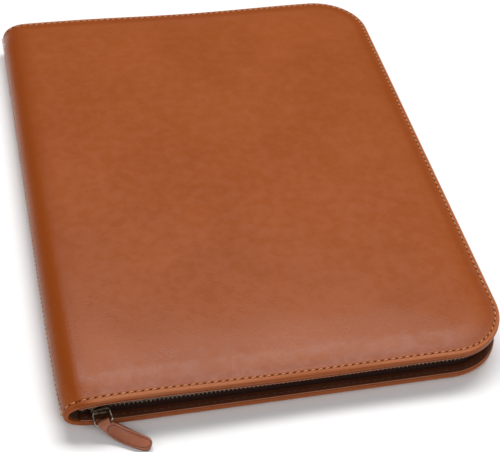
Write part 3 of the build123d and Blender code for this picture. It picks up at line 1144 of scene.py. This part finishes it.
def catmull(values, position):
    index = min(int(position), len(values) - 2)
    t = position - index
    before = values[max(index - 1, 0)]
    first, second = values[index], values[index + 1]
    after = values[min(index + 2, len(values) - 1)]
    return 0.5 * (2 * first + (second - before) * t + (2 * before - 5 * first + 4 * second - after) * t * t
                  + (3 * first - before - 3 * second + after) * t * t * t)


def tabFrames(count=60):
    # centre, side, normal and width along the strap, from the ring to the tip
    bar = barCentre
    along = Vector((math.cos(tab["heading"]), math.sin(tab["heading"]), 0))
    across = Vector((-along.y, along.x, 0))
    rest = tab["rest"] + tab["thickness"] + tab["gap"] / 2
    drop = bar.z - rest
    columns = list(zip(*tab["stations"]))
    frames = []
    centres = []
    for step in range(count + 1):
        position = step / count * (len(tab["stations"]) - 1)
        share, height, twist, width = (catmull(column, position) for column in columns)
        lean = (barDirection * (1 - twist) + across * twist).normalized().z
        level = rest + max(drop * height, 0) + max(lean, 0) * width / 2 * (1 - height)
        centres.append((Vector((bar.x, bar.y, level)) + along * tab["reach"] * share, twist, width))
    for step, (centre, twist, width) in enumerate(centres):
        run = centres[min(step + 1, count)][0] - centres[max(step - 1, 0)][0]
        tangent = run.normalized()
        side = (barDirection * (1 - twist) + across * twist).normalized()
        side = (side - tangent * side.dot(tangent)).normalized()
        normal = side.cross(tangent)
        if normal.z < 0:
            normal = -normal
        frames.append((centre, tangent, side, normal, width))
    return frames


def strapSection(width, thickness):
    # rounded oblong section, as (across, up)
    bend = thickness * 0.42
    x, y = width / 2 - bend, thickness / 2 - bend
    corners = [(x, y, 0), (-x, y, 90), (-x, -y, 180), (x, -y, 270)]
    return roundedCorners(corners, bend)


def makeTab():
    # one strap that runs back along the top, folds round the ring's bar and returns below
    frames = tabFrames()
    offset = tab["thickness"] / 2 + tab["gap"] / 2
    bar = barCentre
    total = len(frames)
    first = 5  # where the two layers part to go round the bar
    layers = []
    def tipWidth(index, width):
        distance = (frames[-1][0] - frames[index][0]).length
        if distance < tab["tip"]:
            share = distance / tab["tip"]
            return width - 2 * (width / 2 - 1.0) * (1 - math.sqrt(max(1 - (1 - share) ** 2, 0)))
        return width
    for index in range(total - 1, first - 1, -1):
        centre, tangent, side, normal, width = frames[index]
        layers.append((centre + normal * offset, side, normal, tipWidth(index, width)))
    centre, normal = frames[first][0], frames[first][3]
    away = -(centre - bar).normalized()
    for step in range(1, 14):
        angle = math.radians(40) + (2 * math.pi - math.radians(80)) * step / 14
        direction = -away * math.cos(angle) + normal * math.sin(angle)
        direction = (direction - barDirection * direction.dot(barDirection)).normalized()
        layers.append((bar + direction * tab["loopRadius"], barDirection, direction, tab["stations"][0][3]))
    for index in range(first, total):
        centre, tangent, side, normal, width = frames[index]
        layers.append((centre - normal * offset, side, -normal, tipWidth(index, width)))
    rows = []
    for centre, side, normal, width in layers:
        section = strapSection(width, tab["thickness"])
        rows.append([tuple(centre + side * a + normal * b) for a, b in section])
    columns = [[row[j] for row in rows] for j in range(len(rows[0]))]
    piece = gridMesh("tab_strap", columns, closed=True, capped=True)
    # the strap's edges are darker
    layer = piece.data.attributes.new("tone", "FLOAT", "POINT")
    shades = [0.9 if j % 8 in (0, 1, 6, 7) else 0.1 for j in range(len(columns)) for row in rows]
    layer.data.foreach_set("value", shades)
    return settled(piece, outwards=True)


strap = makeTab()
finishPiece(strap, "tab", "tab_leather", "pull_tab", material=tabLeather)


def tabChain():
    # stitch path on the strap's upper face: out along one edge, round the tip and back, then across
    frames = tabFrames()
    lift = tab["thickness"] + tab["gap"] / 2
    inset = tab["stitchInset"]
    start, end = 11, 57
    left = []
    right = []
    for index in range(start, end):
        centre, tangent, side, normal, width = frames[index]
        distance = (frames[-1][0] - centre).length
        half = width / 2 - inset
        if distance < tab["tip"] + 0.6:
            half *= math.sqrt(max(1 - (1 - distance / (tab["tip"] + 0.6)) ** 2, 0.02))
        left.append((tuple(centre + side * half + normal * lift), tuple(normal)))
        right.append((tuple(centre - side * half + normal * lift), tuple(normal)))
    loop = left + right[::-1]
    centre, tangent, side, normal, width = frames[start]
    begin = []
    for step in range(9):
        share = 1 - step / 4
        half = width / 2 - inset
        bow = tangent * -1.6 * (1 - share * share)
        begin.append((tuple(centre - side * half * share + bow + normal * lift), tuple(normal)))
    return [loop + begin]


tabStitch = makeStitchPattern("tabStitchPattern", 2.1, 0.27, 0.25)
tabHole = makeHolePattern("tabHolePattern", 0.8, 0.45)
tabRow = sew("tab_stitches", tabChain(), tabStitch, tabThread, pitch=tab["stitchPitch"])
finishPiece(tabRow, "tab", "thread")
finishPiece(pierce("tab_holes", tabChain(), tabHole, pitch=tab["stitchPitch"]), "tab", "thread")
say("slider and tab")


flap = {"wall": 0.95, "top": 6.4, "base": 5.36, "roll": 1.3, "bulge": 0.35, "stitchInset": 2.1,
        "stitchPitch": 1.6}


def flapOutline(low, high, inset, radii):
    # rounded oblong, counter-clockwise from the middle of its mouth; radii are for the four corners
    x0, x1 = low[0] + inset, high[0] - inset
    y0, y1 = low[1] + inset, high[1] - inset
    corners = [(x0, y1, 90), (x0, y0, 180), (x1, y0, 270), (x1, y1, 0)]
    limit = min(x1 - x0, y1 - y0) / 2
    line = [((x0 + x1) / 2, y1)]
    for (x, y, start), radius in zip(corners, radii):
        bend = min(max(radius - inset, 0.0), limit)
        cx = x + bend if x == x0 else x - bend
        cy = y - bend if y == y1 else y + bend
        before = line[-1]
        arc = []
        for step in range(9):
            angle = math.radians(start + step * 11.25)
            arc.append((cx + bend * math.cos(angle), cy + bend * math.sin(angle)))
        for share in range(1, 24):
            line.append((before[0] + (arc[0][0] - before[0]) * share / 24,
                         before[1] + (arc[0][1] - before[1]) * share / 24))
        line += arc
    before = line[-1]
    last = ((x0 + x1) / 2, y1)
    line += [(before[0] + (last[0] - before[0]) * share / 24, before[1] + (last[1] - before[1]) * share / 24)
             for share in range(1, 25)]
    return line


def makeFlap(node, front, radii, body):
    # leather pocket: sewn down on three sides, its mouth edge turned and a little open
    corner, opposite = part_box(node)
    low = (corner.x / mm, corner.y / mm)
    high = (opposite.x / mm, opposite.y / mm)
    half = min(high[0] - low[0], high[1] - low[1]) / 2
    insets = [0.0, 0.25, 0.6, 1.0, 1.5, 1.9, 2.1, 2.3, 2.8, 4.0]
    step = 6.0
    while insets[-1] + step < half:
        insets.append(insets[-1] + step)
    insets = [inset for inset in insets if inset < half - 0.2] + [half]
    rows = []
    for inset in insets:
        row = []
        for x, y in flapOutline(low, high, inset, radii):
            sides = min(x - low[0], high[0] - x, y - low[1])
            mouth = high[1] - y
            rise = math.sqrt(smooth(min(inset, sides) / flap["roll"]))
            rise = max(rise, smooth(1 - mouth / 2.5) * smooth(sides / 6))
            groove = 0.2 * bell(inset, flap["stitchInset"], 0.45) * (1 - smooth(1 - mouth / 5))
            puff = flap["bulge"] * smooth((inset - 3) / 12)
            crease = 0.16 * bell(mouth, 3.4, 0.4)
            depth = flap["base"] + (flap["top"] - flap["base"]) * rise - groove - crease + puff
            row.append(place(x, y, depth, front))
        rows.append(row)
    piece = gridMesh(node + "_leather", rows)
    settled(piece, merge=cover["merge"])
    orient(piece, Vector((0, 0, -1 if front else 1)))
    settled(piece, flap["wall"])
    finishPiece(piece, body, "inner_leather", node, material=innerLeather)
    up = (0, 0, -1 if front else 1)
    seam = []
    for x, y in flapOutline(low, high, flap["stitchInset"], radii):
        if high[1] - y > flap["stitchInset"] + 0.3:
            seam.append((place(x, y, flap["top"] - 0.17, front), up))
    row = sew(node + "_stitches", [seam], smallStitch, threadFinish, pitch=flap["stitchPitch"])
    finishPiece(row, body, "thread")


smallStitch = makeStitchPattern("smallStitchPattern", 2.3, 0.26, 0.25)
makeFlap("pad_pocket", False, (1.5, 3.0, 26.0, 1.5), "back_cover")
makeFlap("document_pocket", True, (1.5, 3.0, 26.0, 1.5), "front_cover")
for number in (1, 2, 3):
    makeFlap("card_slot_" + str(number), True, (1.0, 1.0, 1.0, 1.0), "front_cover")

penLoop = {"wall": 1.0, "foot": 5.0}


def makePenLoop():
    # strap of leather bent into a loop, with both ends lying flat under the stitches
    low, high = (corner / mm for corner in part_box("pen_loop"))
    radius = (high.x - low.x) / 2 - penLoop["wall"] / 2
    centreX = (low.x + high.x) / 2
    centreZ = (low.z + high.z) / 2
    base = low.z + penLoop["wall"] / 2
    line = [(centreX + 1.0 + radius * 0.55 + penLoop["foot"] * (1 - step / 4), base) for step in range(5)]
    for step in range(1, 40):
        angle = math.radians(-58 + 296 * step / 40)
        line.append((centreX + radius * math.cos(angle), centreZ + radius * math.sin(angle)))
    line += [(centreX - radius * 0.45 + 3.2 * step / 3, base + 0.06) for step in range(4)]
    half = penLoop["wall"] / 2
    rows = []
    ends = [(low.y, 0.55), (low.y + 0.12, 0.85), (low.y + 0.4, 1.0), (high.y - 0.4, 1.0),
            (high.y - 0.12, 0.85), (high.y, 0.55)]
    middle = ends[2][0]
    span = ends[3][0] - middle
    ends[3:3] = [(middle + span * share / 8, 1.0) for share in range(1, 8)]
    for sign in (1, -1):
        for y, share in (ends if sign == 1 else ends[::-1]):
            row = []
            for index, (x, z) in enumerate(line):
                before = line[max(index - 1, 0)]
                after = line[min(index + 1, len(line) - 1)]
                run = (after[0] - before[0], after[1] - before[1])
                size = math.hypot(*run)
                offset = half * share * sign
                row.append((x + run[1] / size * offset, y, max(z - run[0] / size * offset, low.z)))
            rows.append(row)
    piece = gridMesh("pen_loop_leather", rows, closed=True, capped=True)
    settled(piece, outwards=True)
    return finishPiece(piece, "back_cover", "inner_leather", "pen_loop", material=innerLeather)


makePenLoop()
say("inside")

for pattern in patterns:
    bpy.data.objects.remove(pattern)


studio = {"floor": 6.0, "floorLevel": -0.0003, "world": 0.23}
# direction, distance, size and power
lamps = {
    "keyLight": ((0.12, 0.44, 1.0), 2.0, (1.8, 0.6), 39.0),
    "sideLight": ((-1.0, -0.15, 0.75), 2.2, (1.4, 1.4), 6.0),
    "frontLight": ((0.25, -1.0, 0.80), 2.2, (1.6, 1.0), 16.5),
}


def makeFloor():
    size = studio["floor"]
    mesh = bpy.data.meshes.new("floor")
    corners = [(x * size, y * size, studio["floorLevel"]) for x, y in ((-1, -1), (1, -1), (1, 1), (-1, 1))]
    mesh.from_pydata(corners, [], [[0, 1, 2, 3]])
    floor = addObject("floor", mesh)
    setFinish(floor, simpleMaterial("paleFloor", (0.86, 0.86, 0.86), (0.88, 0.88, 0.88), 3.0, 0.7, 0.0,
                                    specular=0.2))


def areaLight(name, direction, distance, size, power):
    light = bpy.data.lights.new(name, "AREA")
    light.shape = "RECTANGLE"
    light.size = size[0]
    light.size_y = size[1]
    light.energy = power
    lamp = addObject(name, light)
    where = Vector(direction).normalized()
    lamp.matrix_world = where.to_track_quat("Z", "Y").to_matrix().to_4x4()
    lamp.location = where * distance


makeFloor()
for name, (direction, distance, size, power) in lamps.items():
    areaLight(name, direction, distance, size, power)
world = bpy.data.worlds.new("studio")
bpy.context.scene.world = world
world.use_nodes = True
background = world.node_tree.nodes["Background"]
background.inputs["Color"].default_value = (1.0, 0.99, 0.98, 1)
background.inputs["Strength"].default_value = studio["world"]

view = {"turn": math.radians(-15.934), "rise": math.radians(43.878), "roll": math.radians(4.92),
        "distance": 0.84466, "target": (0.007175, -0.030948, 0.0), "lens": 96.0}


def makeCamera():
    lens = bpy.data.cameras.new("camera")
    lens.lens = view["lens"]
    lens.sensor_width = 36.0
    lens.clip_start = 0.01
    lens.clip_end = 50.0
    camera = addObject("camera", lens)
    turn, rise, roll = view["turn"], view["rise"], view["roll"]
    back = Vector((math.sin(turn) * math.cos(rise), -math.cos(turn) * math.cos(rise), math.sin(rise)))
    right = (-back).cross(Vector((0, 0, 1))).normalized()
    up = right.cross(-back)
    rolledRight = right * math.cos(roll) + up * math.sin(roll)
    rolledUp = up * math.cos(roll) - right * math.sin(roll)
    turned = Matrix((rolledRight, rolledUp, back)).transposed().to_4x4()
    turned.translation = Vector(view["target"]) + back * view["distance"]
    camera.matrix_world = turned
    bpy.context.scene.camera = camera


makeCamera()
bpy.context.scene.view_settings.view_transform = "Standard"
say("studio")
